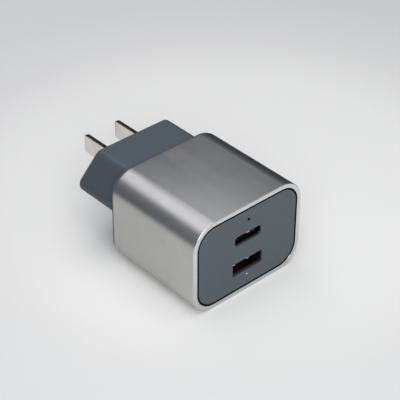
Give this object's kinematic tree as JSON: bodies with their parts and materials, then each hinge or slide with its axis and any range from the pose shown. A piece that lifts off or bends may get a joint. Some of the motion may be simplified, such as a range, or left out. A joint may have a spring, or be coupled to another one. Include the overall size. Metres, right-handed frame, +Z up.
{
  "type": "usb wall charger",
  "caption": "Compact wall charger with an aluminium sleeve, inset plastic face with stacked USB-C and USB-A ports, faceted plug block and flat blades.",
  "frame": {"origin": "centre of the bounding box's bottom face, on the flat underside's level", "axes": "-Y out of the port face, +Y along the blades, +Z up with the smaller port above the larger one, X across"},
  "size_m": [0.044, 0.0704, 0.0324],
  "materials": {
    "anodised_aluminium": "satin, fine grained, polished front rim",
    "slate_plastic": "matte, fine moulded grain",
    "black_adhesive": "matte",
    "black_plastic": "matte",
    "nickel_plate": "nickel plated, lightly brushed",
    "white_plastic": "matte",
    "copper_alloy": "satin",
    "circuit_board": "solder mask",
    "ceramic_body": "satin",
    "blue_epoxy": "dipped epoxy",
    "yellow_plastic": "matte",
    "tinned_wire": "tinned",
    "black_epoxy": "matte",
    "ferrite": "ground, matte",
    "enamelled_copper": "enamelled wire",
    "bare_aluminium": "satin",
    "dark_jacket": "shrunk film",
    "yellow_tape": "thin film",
    "grey_rubber": "soft, matte",
    "copper_sheet": "rolled, satin",
    "insulating_film": "translucent film",
    "chip_ceramic": "satin",
    "led_package": "gloss",
    "dark_lens": "dark tinted, unlit",
    "lit_lens": "diffuse white, lit",
    "polished_steel": "bright nickel plated",
    "maroon_plastic": "satin",
    "gold_plate": "gold plated"
  },
  "bodies": {
    "casing": {"metal_sleeve": "anodised_aluminium", "front_faceplate": "slate_plastic", "faceplate_adhesive": "black_adhesive", "inner_case": "black_plastic", "rear_cover": "slate_plastic", "plug_housing": "slate_plastic", "live_blade": "nickel_plate", "neutral_blade": "nickel_plate", "blade_carrier": "white_plastic", "live_contact": "copper_alloy", "neutral_contact": "copper_alloy", "input_board": "circuit_board", "input_fuse": "ceramic_body", "surge_varistor": "blue_epoxy", "x_capacitor": "yellow_plastic", "input_link_wires": "tinned_wire", "main_board": "circuit_board", "bridge_rectifier": "black_epoxy", "choke_core": "ferrite", "choke_windings": "enamelled_copper", "bulk_capacitor_cans": "bare_aluminium", "bulk_capacitor_jackets": "dark_jacket", "transformer_core_halves": "ferrite", "transformer_bobbin": "white_plastic", "transformer_winding": "enamelled_copper", "transformer_tape": "yellow_tape", "y_capacitor": "blue_epoxy", "optocoupler": "black_epoxy", "output_capacitors": "bare_aluminium", "switch_ic": "black_epoxy", "rectifier_ic": "black_epoxy", "thermal_pads": "grey_rubber", "heat_spreader": "copper_sheet", "insulating_sheet": "insulating_film", "chip_parts": "chip_ceramic", "port_board": "circuit_board", "controller_ic": "black_epoxy", "indicator_leds": "led_package", "upper_light_pipe": "dark_lens", "lower_light_pipe": "lit_lens", "usb_c_shell": "polished_steel", "usb_c_insulator": "maroon_plastic", "usb_c_contacts": "gold_plate", "usb_a_shell": "polished_steel", "usb_a_insulator": "maroon_plastic", "usb_a_contact_tails": "gold_plate"},
    "contact_1": {"usb_a_contact_1": "gold_plate"},
    "contact_2": {"usb_a_contact_2": "gold_plate"},
    "contact_3": {"usb_a_contact_3": "gold_plate"},
    "contact_4": {"usb_a_contact_4": "gold_plate"},
    "top_springs": {"usb_a_top_springs": "polished_steel"},
    "bottom_springs": {"usb_a_bottom_springs": "polished_steel"}
  },
  "joints": [
    {"name": "contact_1_flex", "type": "hinge", "parent": "casing", "child": "contact_1", "pos_m": [-0.0035, -0.0246, 0.01015], "axis": [-1, 0, 0], "range_deg": [0, 5], "stiffness_Nm_per_rad": 0.05},
    {"name": "contact_2_flex", "type": "hinge", "parent": "casing", "child": "contact_2", "pos_m": [-0.001, -0.0246, 0.01015], "axis": [-1, 0, 0], "range_deg": [0, 5], "stiffness_Nm_per_rad": 0.05},
    {"name": "contact_3_flex", "type": "hinge", "parent": "casing", "child": "contact_3", "pos_m": [0.001, -0.0246, 0.01015], "axis": [-1, 0, 0], "range_deg": [0, 5], "stiffness_Nm_per_rad": 0.05},
    {"name": "contact_4_flex", "type": "hinge", "parent": "casing", "child": "contact_4", "pos_m": [0.0035, -0.0246, 0.01015], "axis": [-1, 0, 0], "range_deg": [0, 5], "stiffness_Nm_per_rad": 0.05},
    {"name": "top_springs_flex", "type": "hinge", "parent": "casing", "child": "top_springs", "pos_m": [0, -0.0262, 0.01251], "axis": [-1, 0, 0], "range_deg": [0, 5], "stiffness_Nm_per_rad": 0.3},
    {"name": "bottom_springs_flex", "type": "hinge", "parent": "casing", "child": "bottom_springs", "pos_m": [0, -0.0262, 0.00709], "axis": [1, 0, 0], "range_deg": [0, 5], "stiffness_Nm_per_rad": 0.3}
  ]
}
